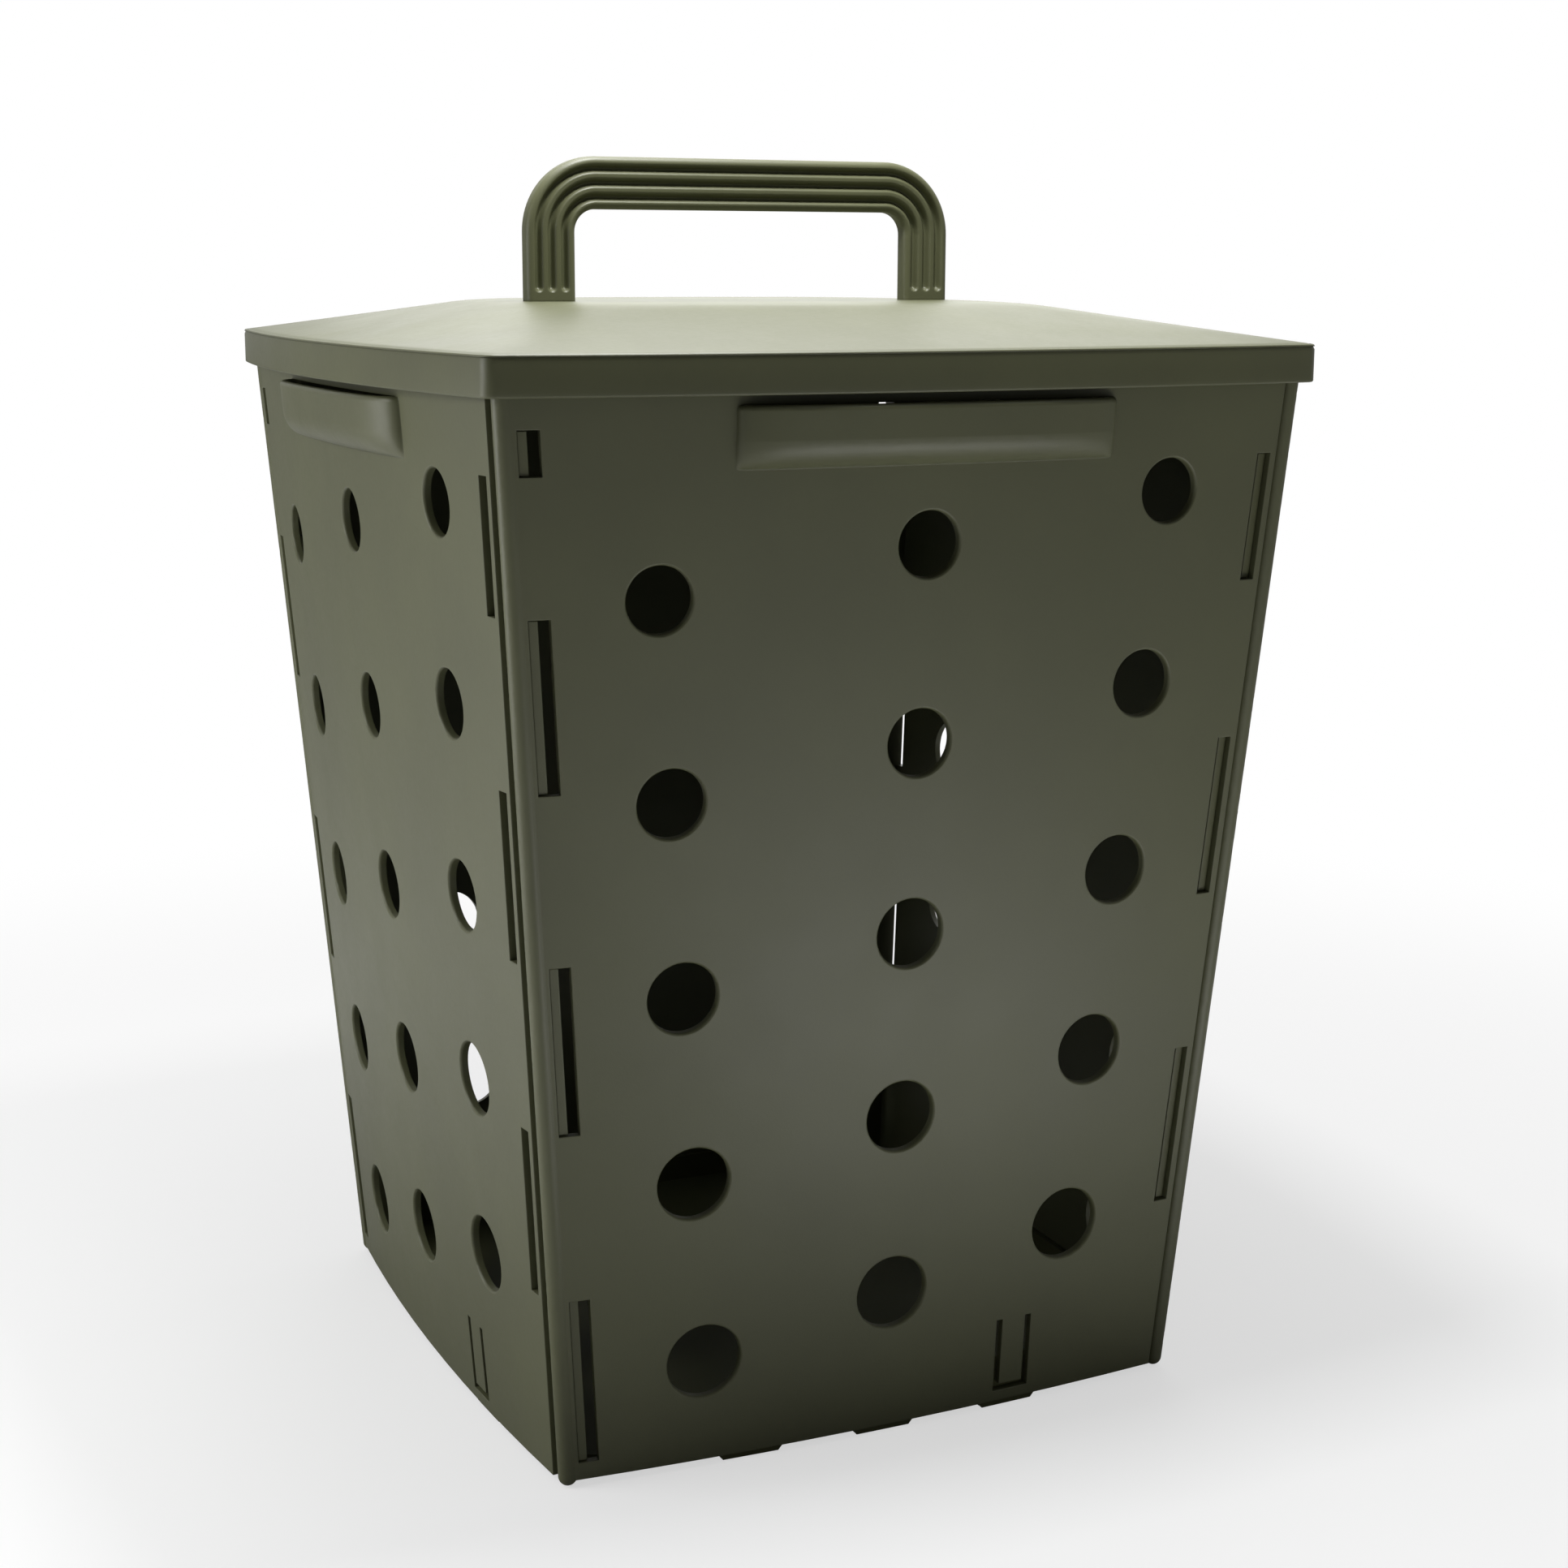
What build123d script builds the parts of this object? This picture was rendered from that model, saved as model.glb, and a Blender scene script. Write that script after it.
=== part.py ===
from build123d import *
import os
from itertools import accumulate, pairwise
from math import asin, atan, copysign, cos, dist, pi, sin

# Flat-pack compost bin: four hooked side panels, a floor tray, a lift-off lid and its bow handle.
# Millimetres, +Z up. The origin is on the ground under the middle of the floor; the front panel faces -Y.
# Heights named "up the panel" are counted from the panels' lower edge.

# Body of the bin
LOWER_HALF = 104.4        # half the corner to corner width at the panels' lower edge
UPPER_HALF = 127.2        # half the corner to corner width at the panels' upper edge
LOWER_BOW = 5.0           # how far a panel bows out at the middle of its lower edge
UPPER_BOW = 7.0           # how far a panel bows out at the middle of its upper edge
PANEL_HEIGHT = 326.3      # lower edge to upper edge
WALL = 2.6                # thickness of a panel
FIT_GAP = 0.3             # clearance between pieces that slot together

# Corner bead, a rounded column on each panel's left edge
BEAD_RADIUS = 2.85
BEAD_ALONG = 2.55         # bead centre from the corner, along the panel
BEAD_DEPTH = 2.3          # bead centre behind the panel's outer face
BEAD_LIFT = 0.3           # the bead's rounded tip above the ground

# Fingers of the corner joint, stacked up each corner
FINGER_OVER = 0.4         # lowest finger above the floor plate
FINGER_DROP = 17.2        # top finger's upper end, below the panel's upper edge
FULL_FINGERS = 5
FINGER_SHRINK = 0.9       # each full finger is this much shorter than the one below it
UPPER_FINGER = 38.2
TOP_FINGER = 12.4
HOOK = 2.6                # thickness of the hooks
LEFT_RECESS = 1.1         # hook tips in the left windows, behind the outer face
RIGHT_RECESS = 2.0        # hook tips in the right windows, behind the outer face
SEAM = 0.45               # between a panel's right end and the neighbour's bead
BEAD_EDGE = 0.1           # between the bead and the left windows
RIGHT_STRIP = 2.2         # strip of wall between the right end and the right windows
LEFT_SPARE = 3.1          # left windows are this much wider than the hooks in them
RIGHT_SPARE = 1.8         # right windows are this much wider than the hooks in them

# Air holes
HOLE_ROWS = 5
LOWEST_HOLE = 32.4        # lowest hole of the left column, up the panel
HIGHEST_DROP = 63.9       # highest hole of the left column, below the panel's upper edge
HOLE_STAGGER = 12.2       # each column stands this much higher than the one on its left
LOWER_MARGIN = 45.7       # outer columns in from the corner lines, at the lowest row
UPPER_MARGIN = 42.3       # outer columns in from the corner lines, at the highest row
LOWER_HOLE = 23.2         # diameter in the lowest row
UPPER_HOLE = 19.2         # diameter in the highest row
HOLE_EASE = 0.9           # depth of the rounded outer rim
HOLE_FLARE = 0.6          # the rim's opening past the hole

# Grip scoop, pushed out of each panel under the lid
SCOOP_HALF = 59.5         # half its width
SCOOP_SHIFT = -0.5        # its middle from the panel's middle
SCOOP_OUT = 7.7           # how far it stands out of the panel
SCOOP_FULLNESS = 5.0      # exponent of the curve from side to side, seen from above
SCOOP_STEPS = 6           # points on each half of that curve
SCOOP_ROOT = 0.5          # the curve ends this far inside the wall's outer face
SCOOP_TALL = 17.5         # underside to rim
SCOOP_SLOT = 2.8          # gap between its open rim and the lid's skirt
SCOOP_WALL = 2.2
SCOOP_UNDER = 8.0         # height of its rounded underside
UNDER_STEPS = 5           # slices of the rounded underside
RIM_ROUND = 1.4           # rounding of its rim
LIP_STEPS = 3             # slices of the rounded rim

# Snap tongue that holds the floor
TONGUE_WIDTH = 8.2
TONGUE_SLOT = 2.2
TONGUE_LOW = 3.5          # lower edge of the cut, up the panel
TONGUE_HIGH = 28.0        # upper end of the cut, up the panel
NUB_WIDTH = 6.0
NUB_HEIGHT = 3.0
NUB_RISE = 1.9            # nub above the floor plate
NUB_OUT = 1.8             # how far the nub stands into the bin

# Floor tray
TAB_HEIGHT = 2.3          # thickness of the tabs that the panels' lower edges stand on
TAB_WIDTH = 22.0
TAB_SPACING = 44.4        # the snap tongue stands over the right tab
TAB_BEVEL = 2.0
TAB_SETBACK = 1.6         # tabs behind the panels' outer faces
LEG_DEPTH = 6.0           # legs that join the tabs to the floor plate
LEG_BACK = 0.5            # legs behind the upstands' outer faces
FLOOR_LIFT = 2.7          # floor plate's underside above the tabs
FLOOR_PLATE = 2.4
FLOOR_GAP = 0.6           # floor edge inside the panels' inner faces
FLOOR_CORNER = 14.0       # rounding length at the corners, under the lowest hooks
UPSTAND_SPARE = 6.6       # upstands reach this far past the outer tabs
UPSTAND_OVER = 4.0        # upstands stand this much higher than the nubs
UPSTAND_WALL = 2.2

# Lid
LID_PLATE = 2.4           # thickness of its top
LID_CLEAR = 0.45          # between the skirt and the corner beads
LID_EXTRA_BOW = 3.9       # its sides bow out this much more than the panels
LID_CORNER = 3.0          # rounding length at the corners
SKIRT_DEPTH = 11.2        # from the lid's edge down to the skirt's lower edge
SKIRT_WALL = 1.8
CROWN_RISE = 11.2         # the flat middle above the edge
CROWN_BOW = 13.5
CROWN_CORNER = 16.0       # rounding length at the flat middle's corners
CROWN_SPARE = 1.0         # flat middle past the handle's feet
CROWN_STEPS = ((0.48, 0.5), (0.84, 0.88))   # soft shoulder: share of the way in, share of the rise
LEDGE_SPARE = 3.9         # flat underside past the locating ribs
RIB_HALF = 45.0           # locating ribs inside the panels
RIB_DEPTH = 6.0
RIB_WALL = 2.0
RIB_GAP = 0.8

# Handle
HANDLE_SPAN = 130.4       # from leg middle to leg middle
HANDLE_HEIGHT = 44.0      # above the flat middle of the lid
BAR_WIDTH = 16.0          # in the plane of the bow
BAR_DEPTH = 6.6
BAR_ROUND = 2.0
INNER_BEND = 7.0          # radius inside the bends
GROOVE_COUNT = 3
GROOVE_PITCH = 4.4
GROOVE_RADIUS = 1.6
GROOVE_END = 4.3          # rounded groove ends above the lid
PRONG_ROOT = 1.6          # prongs start this far up inside the legs
PRONG_WIDTH = 8.0
PRONG_DEPTH = 3.0
PRONG_BARB = 1.0
BARB_HEIGHT = 2.5

# Fingers up the panel: even steps are left windows, odd ones right windows
FINGER_START = FLOOR_LIFT + FLOOR_PLATE + FINGER_OVER
FULL_SPACE = PANEL_HEIGHT - FINGER_START - FINGER_DROP - UPPER_FINGER - TOP_FINGER
LONGEST_FINGER = FULL_SPACE / FULL_FINGERS + FINGER_SHRINK * (FULL_FINGERS - 1) / 2
FINGER_LENGTHS = [LONGEST_FINGER - FINGER_SHRINK * step for step in range(FULL_FINGERS)]
FINGER_LENGTHS += [UPPER_FINGER, TOP_FINGER]
FINGER_BOUNDS = [FINGER_START + sum(FINGER_LENGTHS[:step]) for step in range(len(FINGER_LENGTHS) + 1)]

# Places that follow from the sizes above
CORNER_TURN = 2 * atan((LOWER_BOW + UPPER_BOW) / (LOWER_HALF + UPPER_HALF))
RIGHT_END = BEAD_DEPTH + BEAD_RADIUS + SEAM
LEFT_WINDOW = BEAD_ALONG + BEAD_RADIUS + BEAD_EDGE
RIGHT_WINDOW = RIGHT_END + RIGHT_STRIP
HOOK_ROOM = HOOK + 2 * FIT_GAP
HOLE_PITCH = (PANEL_HEIGHT - LOWEST_HOLE - HIGHEST_DROP) / (HOLE_ROWS - 1)
SCOOP_RIM = PANEL_HEIGHT + LID_PLATE - SKIRT_DEPTH - SCOOP_SLOT
SCOOP_LOW = SCOOP_RIM - SCOOP_TALL
FLOOR_RAISE = TAB_HEIGHT + FLOOR_LIFT
NUB_LOW = FLOOR_LIFT + FLOOR_PLATE + NUB_RISE
LID_EDGE = TAB_HEIGHT + PANEL_HEIGHT + LID_PLATE
LID_TOP = LID_EDGE + CROWN_RISE
LID_HALF = UPPER_HALF + BEAD_RADIUS - min(BEAD_DEPTH, BEAD_ALONG) + LID_CLEAR + SKIRT_WALL
LID_BOW = UPPER_BOW + LID_EXTRA_BOW
LEDGE = LID_HALF - UPPER_HALF + LID_EXTRA_BOW + WALL + RIB_GAP + RIB_WALL + LEDGE_SPARE
BEND_RADIUS = INNER_BEND + BAR_WIDTH / 2
CROWN_HALF = HANDLE_SPAN / 2 + BAR_WIDTH / 2 + CROWN_SPARE - CROWN_BOW


def between(low, high, height):
    """Value at a height up the panel, straight from its lower to its upper value."""
    return low + (high - low) * height / PANEL_HEIGHT


def half_at(height):
    """Half the corner to corner width at a height up the panel."""
    return between(LOWER_HALF, UPPER_HALF, height)


def bow_at(height):
    """How far a panel bows out at its middle at a height up the panel."""
    return between(LOWER_BOW, UPPER_BOW, height)


def arc_at(height):
    """Radius and centre of the arc that a panel's outer face follows at a height."""
    half = half_at(height)
    bow = bow_at(height)
    radius = (half ** 2 + bow ** 2) / (2 * bow)
    return radius, radius - half - bow


def face_point(offset, height, depth=0.0):
    """Point of the front panel, offset sideways from its middle and depth behind its outer face."""
    radius, centre = arc_at(height)
    swing = asin(offset / radius)
    reach = radius - depth
    return Vector(reach * sin(swing), centre - reach * cos(swing), TAB_HEIGHT + height)


def wall_slice(height, left, right, depth, thickness):
    """Wire round a level slice of a bowed wall, from left to right of the panel's middle."""
    middle = (left + right) / 2
    inner = depth + thickness
    outer_arc = ThreePointArc(
        face_point(left, height, depth), face_point(middle, height, depth), face_point(right, height, depth))
    inner_arc = ThreePointArc(
        face_point(right, height, inner), face_point(middle, height, inner), face_point(left, height, inner))
    right_end = Line(outer_arc @ 1, inner_arc @ 0)
    left_end = Line(inner_arc @ 1, outer_arc @ 0)
    return Wire([outer_arc, right_end, inner_arc, left_end])


def bowed_wall(low, high, ends_at, depth, thickness):
    """Wall between two heights; its ends are given by a function of the height."""
    slices = []
    for height in (low, high):
        left, right = ends_at(height)
        slices.append(wall_slice(height, left, right, depth, thickness))
    return Solid.make_loft(slices, ruled=True)


def corner_frame(side, height):
    """Corner point with the wall's direction away from it and its inward normal; side is -1 left, 1 right."""
    half = half_at(height)
    point = Vector(side * half, -half, TAB_HEIGHT + height)
    along = Vector(-side * cos(CORNER_TURN), -sin(CORNER_TURN), 0)
    inward = Vector(-side * sin(CORNER_TURN), cos(CORNER_TURN), 0)
    return point, along, inward


def corner_prism(side, outline, low, high):
    """Prism that follows a corner line; outline points are (along the wall, behind its outer face)."""
    point, along, inward = corner_frame(side, low)
    top, _, _ = corner_frame(side, high)
    corners = [point + along * reach + inward * depth for reach, depth in outline]
    return Solid.extrude(Face(Wire.make_polygon(corners)), top - point)


def from_neighbour(reach, depth):
    """A point given along the neighbour's wall and behind its face, in this wall's own terms."""
    lean = 2 * CORNER_TURN
    return -sin(lean) * reach + cos(lean) * depth, cos(lean) * reach + sin(lean) * depth


def hook_outline(start, window, recess):
    """Outline of a hook that leaves its own wall at start and reaches into the neighbour's window."""
    lean = 2 * CORNER_TURN
    near = window + FIT_GAP
    far = near + HOOK
    outer_depth = (start + HOOK + sin(lean) * far) / cos(lean)
    inner_depth = (start + sin(lean) * near) / cos(lean)
    return [
        (start, WALL / 2),
        (start + HOOK, WALL / 2),
        from_neighbour(far, outer_depth),
        from_neighbour(far, recess),
        from_neighbour(near, recess),
        from_neighbour(near, inner_depth),
    ]


def window_outline(start, width):
    """Outline of a cut through the wall, start from the corner."""
    return [(start, -WALL), (start + width, -WALL), (start + width, 2 * WALL), (start, 2 * WALL)]


def make_bead():
    """Rounded corner column with a ball at its lower end."""
    low = BEAD_RADIUS + BEAD_LIFT - TAB_HEIGHT
    point, along, inward = corner_frame(-1, low)
    top, _, _ = corner_frame(-1, PANEL_HEIGHT)
    centre = point + along * BEAD_ALONG + inward * BEAD_DEPTH
    disc = Face(Wire.make_circle(BEAD_RADIUS, Plane(centre)))
    column = Solid.extrude(disc, top - point)
    return column + Pos(centre) * Sphere(BEAD_RADIUS)


def make_hole_cutters():
    """Round cutters square to the panel, with a rounded outer rim."""
    lean = atan((UPPER_HALF + UPPER_BOW - LOWER_HALF - LOWER_BOW) / PANEL_HEIGHT)
    cutters = []
    for row in range(HOLE_ROWS):
        share = row / (HOLE_ROWS - 1)
        radius = (LOWER_HOLE + (UPPER_HOLE - LOWER_HOLE) * share) / 2
        margin = LOWER_MARGIN + (UPPER_MARGIN - LOWER_MARGIN) * share
        column_offset = half_at(LOWEST_HOLE + HOLE_PITCH * row) - margin
        rim = radius + HOLE_FLARE
        bore = Polyline((0, WALL), (0, -2 * WALL), (radius, -2 * WALL), (radius, -HOLE_EASE))
        rounding = TangentArc((radius, -HOLE_EASE), (rim, 0), tangent=(0, 1))
        mouth = Polyline((rim, 0), (rim, WALL), (0, WALL))
        cutter = revolve(Plane.XZ * make_face([bore, rounding, mouth]), Axis.Z)
        for column in (-1, 0, 1):
            height = LOWEST_HOLE + HOLE_PITCH * row + HOLE_STAGGER * (column + 1)
            centre = face_point(column * column_offset, height)
            swing = asin(column * column_offset / arc_at(height)[0])
            outward = Vector(sin(swing) * cos(lean), -cos(swing) * cos(lean), -sin(lean))
            cutters.append(Plane(origin=centre, z_dir=outward) * cutter)
    return cutters


def scoop_curve():
    """Points of the scoop's curve from side to side: shares of its half width and of its reach."""
    turns = [pi / 2 * step / SCOOP_STEPS for step in range(-SCOOP_STEPS, SCOOP_STEPS + 1)]
    return [(copysign(abs(sin(turn)) ** (2 / SCOOP_FULLNESS), turn), cos(turn)) for turn in turns]


def scoop_slice(height, half_width, out, back):
    """Level slice of the grip scoop: one full curve from side to side, closed behind the outer face."""
    points = []
    for share, reach in scoop_curve():
        depth = SCOOP_ROOT - (out + SCOOP_ROOT) * reach
        points.append(face_point(SCOOP_SHIFT + half_width * share, height, depth))
    full_curve = [(SCOOP_HALF * share, SCOOP_OUT * reach) for share, reach in scoop_curve()]
    steps = [dist(start, end) for start, end in pairwise(full_curve)]
    front = Edge.make_spline(points, parameters=list(accumulate(steps, initial=0.0)))
    left, right = SCOOP_SHIFT - half_width, SCOOP_SHIFT + half_width
    rear = ThreePointArc(
        face_point(right, height, back), face_point(SCOOP_SHIFT, height, back), face_point(left, height, back))
    return Wire([front, Line(front @ 1, rear @ 0), rear, Line(rear @ 1, front @ 0)])


def scoop_block(inset, back, top):
    """Rounded underside and straight sides of the scoop, made smaller by an inset."""
    half_width = SCOOP_HALF - inset
    out = SCOOP_OUT - inset
    low = SCOOP_LOW + inset
    round_height = SCOOP_UNDER - inset
    slices = []
    for step in range(UNDER_STEPS + 1):
        turn = pi / 2 * step / UNDER_STEPS
        level = low + round_height * (1 - cos(turn))
        slices.append(scoop_slice(level, half_width, (out + SCOOP_ROOT) * sin(turn) - SCOOP_ROOT, back))
    sides = Solid.make_loft([slices[-1], scoop_slice(top, half_width, out, back)], ruled=True)
    return Solid.make_loft(slices), sides


def make_scoop():
    """Outer body of the grip scoop, and its pocket, which opens the wall behind it."""
    back = WALL / 2
    underside, sides = scoop_block(0, back, SCOOP_RIM - RIM_ROUND)
    lip = []
    for step in range(LIP_STEPS + 1):
        turn = pi / 2 * step / LIP_STEPS
        level = SCOOP_RIM - RIM_ROUND * (1 - sin(turn))
        shrink = RIM_ROUND * (1 - cos(turn))
        lip.append(scoop_slice(level, SCOOP_HALF - shrink, SCOOP_OUT - shrink, back))
    body = underside + sides + Solid.make_loft(lip)
    pocket_underside, pocket_sides = scoop_block(SCOOP_WALL, 2 * WALL, SCOOP_RIM)
    return body, pocket_underside + pocket_sides


def make_tongue_slot():
    """U-shaped cut that frees the snap tongue, and the nub on the tongue's inner face."""
    outer = TONGUE_WIDTH / 2 + TONGUE_SLOT
    inner = TONGUE_WIDTH / 2
    low = TAB_HEIGHT + TONGUE_LOW
    high = TAB_HEIGHT + TONGUE_HIGH
    floor_of_slot = low + TONGUE_SLOT
    outline = [
        (-outer, low), (outer, low), (outer, high), (inner, high), (inner, floor_of_slot),
        (-inner, floor_of_slot), (-inner, high), (-outer, high)]
    corners = [(TAB_SPACING + side, -LOWER_HALF - 2 * LOWER_BOW, level) for side, level in outline]
    slot = Solid.extrude(Face(Wire.make_polygon(corners)), Vector(0, 4 * LOWER_BOW + WALL, 0))
    nub_half = NUB_WIDTH / 2
    nub = bowed_wall(
        NUB_LOW, NUB_LOW + NUB_HEIGHT,
        lambda height: (TAB_SPACING - nub_half, TAB_SPACING + nub_half), WALL / 2, WALL / 2 + NUB_OUT)
    return slot, nub


def make_panel():
    """Front panel: bowed wall, corner bead, hooks and windows, air holes, grip scoop and snap tongue."""
    wall = bowed_wall(
        0, PANEL_HEIGHT,
        lambda height: (BEAD_ALONG - half_at(height), half_at(height) - RIGHT_END), 0, WALL)
    panel = wall + make_bead()
    for step in range(len(FINGER_LENGTHS)):
        low, high = FINGER_BOUNDS[step], FINGER_BOUNDS[step + 1]
        hook_low, hook_high = low + FIT_GAP, high - FIT_GAP
        if step % 2 == 0:
            panel -= corner_prism(-1, window_outline(LEFT_WINDOW, HOOK_ROOM + LEFT_SPARE), low, high)
            panel += corner_prism(1, hook_outline(RIGHT_END, LEFT_WINDOW, LEFT_RECESS), hook_low, hook_high)
        else:
            panel -= corner_prism(1, window_outline(RIGHT_WINDOW, HOOK_ROOM + RIGHT_SPARE), low, high)
            panel += corner_prism(-1, hook_outline(LEFT_WINDOW, RIGHT_WINDOW, RIGHT_RECESS), hook_low, hook_high)
    body, pocket = make_scoop()
    slot, nub = make_tongue_slot()
    panel = panel + body - pocket
    panel = panel - make_hole_cutters() - slot + nub
    return panel


def bowed_square(half, bow, corner, level):
    """Wire round a square with bowed sides and rounded corners; half and bow are for sharp corners."""
    radius = (half ** 2 + bow ** 2) / (2 * bow)
    centre = radius - half - bow
    side = half - corner
    swing = asin(side / radius)
    start = Vector(-side, centre - radius * cos(swing), level)
    middle = Vector(0, -half - bow, level)
    end = Vector(side, start.Y, level)
    direction = Vector(cos(swing), sin(swing), 0)
    next_start = Vector(-start.Y, -side, level)
    edges = []
    for turn in range(4):
        spin = 90 * turn
        edges.append(ThreePointArc(start, middle, end).rotate(Axis.Z, spin))
        edges.append(TangentArc(end, next_start, tangent=direction).rotate(Axis.Z, spin))
    return Wire(edges)


def bowed_block(half, bow, corner, low, high):
    """Upright block on a bowed square."""
    base = Face(bowed_square(half, bow, corner, low))
    return Solid.extrude(base, Vector(0, 0, high - low))


def make_floor():
    """Raised floor plate, tabs on legs under the panels, upstands with catches."""
    floor = bowed_block(
        LOWER_HALF - WALL - FLOOR_GAP, LOWER_BOW, FLOOR_CORNER, FLOOR_RAISE, FLOOR_RAISE + FLOOR_PLATE)
    upstand_inset = WALL + FIT_GAP
    leg_inset = upstand_inset + LEG_BACK
    tab_top = TAB_WIDTH / 2
    tab_low = tab_top - TAB_BEVEL
    outline = [(-tab_low, 0), (tab_low, 0), (tab_top, TAB_HEIGHT), (-tab_top, TAB_HEIGHT)]
    footprint = bowed_block(LOWER_HALF - TAB_SETBACK, LOWER_BOW, FLOOR_CORNER, 0, TAB_HEIGHT)
    side_pieces = []
    for place in (-1, 0, 1):
        middle = place * TAB_SPACING
        corners = [(middle + side, -LOWER_HALF - 2 * LOWER_BOW, level) for side, level in outline]
        length = 2 * LOWER_BOW + leg_inset + LEG_DEPTH / 2
        bar = Solid.extrude(Face(Wire.make_polygon(corners)), Vector(0, length, 0))
        side_pieces.append(bar & footprint)
        side_pieces.append(bowed_wall(
            -TAB_HEIGHT, FLOOR_LIFT + FLOOR_PLATE / 2,
            lambda height: (middle - tab_low, middle + tab_low), leg_inset, LEG_DEPTH))
    upstand_half = TAB_SPACING + tab_top + UPSTAND_SPARE
    upstand = bowed_wall(
        FLOOR_LIFT, NUB_LOW + NUB_HEIGHT + UPSTAND_OVER,
        lambda height: (-upstand_half, upstand_half), upstand_inset, UPSTAND_WALL)
    catch_half = NUB_WIDTH / 2 + FIT_GAP
    catch = bowed_wall(
        NUB_LOW - FIT_GAP, NUB_LOW + NUB_HEIGHT + FIT_GAP,
        lambda height: (TAB_SPACING - catch_half, TAB_SPACING + catch_half),
        WALL / 2, WALL + 2 * UPSTAND_WALL)
    side_pieces.append(upstand - catch)
    for turn in range(4):
        for piece in side_pieces:
            floor += Rot(0, 0, 90 * turn) * piece
    return floor


def crown_solid(lower):
    """Low crown from the lid's edge to its flat middle, lowered by the given amount."""
    sections = []
    for share, rise in ((0, 0), *CROWN_STEPS, (1, 1)):
        sections.append(bowed_square(
            LID_HALF + (CROWN_HALF - LID_HALF) * share, LID_BOW + (CROWN_BOW - LID_BOW) * share,
            LID_CORNER + (CROWN_CORNER - LID_CORNER) * share, LID_EDGE + CROWN_RISE * rise - lower))
    return Solid.make_loft(sections)


def make_lid():
    """Shallow cap: skirt, crown of even thickness, ledge on the panels, locating ribs, prong slots."""
    under = LID_EDGE - LID_PLATE
    skirt_low = LID_EDGE - SKIRT_DEPTH
    lid = bowed_block(LID_HALF, LID_BOW, LID_CORNER, skirt_low, LID_EDGE) + crown_solid(0)
    lid -= bowed_block(LID_HALF - SKIRT_WALL, LID_BOW, LID_CORNER, skirt_low - LID_PLATE, under)
    well = bowed_block(LID_HALF - LEDGE, LID_BOW, LID_CORNER, under, LID_TOP)
    lid -= well & crown_solid(LID_PLATE)
    rib = bowed_wall(
        PANEL_HEIGHT - RIB_DEPTH, PANEL_HEIGHT,
        lambda height: (-RIB_HALF, RIB_HALF), WALL + RIB_GAP, RIB_WALL)
    for turn in range(4):
        lid += Rot(0, 0, 90 * turn) * rib
    slot_width = PRONG_WIDTH + 2 * FIT_GAP
    slot_depth = PRONG_DEPTH + 2 * FIT_GAP
    for side in (-1, 1):
        lid -= Pos(side * HANDLE_SPAN / 2, 0, LID_TOP) * Box(slot_width, slot_depth, 4 * LID_PLATE)
    return lid


def bow_path(offset, start):
    """U-shaped line, offset outwards from the middle of the handle's bar, starting above the lid."""
    leg = HANDLE_SPAN / 2 + offset
    top = LID_TOP + HANDLE_HEIGHT - BAR_WIDTH / 2 + offset
    low = LID_TOP + start
    radius = BEND_RADIUS + offset
    return FilletPolyline((-leg, 0, low), (-leg, 0, top), (leg, 0, top), (leg, 0, low), radius=radius)


def make_handle():
    """Grooved bow with barbed prongs under its feet that snap under the lid."""
    path = bow_path(0, 0)
    section = Plane(origin=path @ 0, x_dir=(1, 0, 0), z_dir=(0, 0, 1)) * RectangleRounded(
        BAR_WIDTH, BAR_DEPTH, BAR_ROUND)
    handle = sweep(section, path=path)
    for face_side in (-1, 1):
        shift = Pos(0, face_side * BAR_DEPTH / 2, 0)
        for step in range(GROOVE_COUNT):
            offset = (step - (GROOVE_COUNT - 1) / 2) * GROOVE_PITCH
            line = bow_path(offset, GROOVE_END)
            ring = Plane(origin=line @ 0, z_dir=(0, 0, 1)) * Circle(GROOVE_RADIUS)
            handle -= shift * sweep(ring, path=line)
            for end in (line @ 0, line @ 1):
                handle -= shift * (Pos(end) * Sphere(GROOVE_RADIUS))
    barb_top = LID_TOP - LID_PLATE - FIT_GAP
    for side in (-1, 1):
        leg = side * HANDLE_SPAN / 2
        prong = [
            (0, LID_TOP + PRONG_ROOT), (PRONG_DEPTH, LID_TOP + PRONG_ROOT), (PRONG_DEPTH, barb_top),
            (PRONG_DEPTH + PRONG_BARB, barb_top), (PRONG_DEPTH, barb_top - BARB_HEIGHT),
            (0, barb_top - BARB_HEIGHT)]
        corners = [(leg - PRONG_WIDTH / 2, depth - PRONG_DEPTH / 2, level) for depth, level in prong]
        handle += Solid.extrude(Face(Wire.make_polygon(corners)), Vector(PRONG_WIDTH, 0, 0))
    return handle


def main():
    os.makedirs("parts", exist_ok=True)
    panel = make_panel()
    nodes = {
        "front_panel": panel,
        "right_panel": Rot(0, 0, 90) * panel,
        "back_panel": Rot(0, 0, 180) * panel,
        "left_panel": Rot(0, 0, 270) * panel,
        "floor_tray": make_floor(),
        "lid": make_lid(),
        "lid_handle": make_handle(),
    }
    for name, shape in nodes.items():
        export_step(shape, f"parts/{name}.step")


main()
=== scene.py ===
"""Compost bin in moulded olive plastic: panels, floor tray, lid and bow handle, dressed round the frame."""

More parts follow.
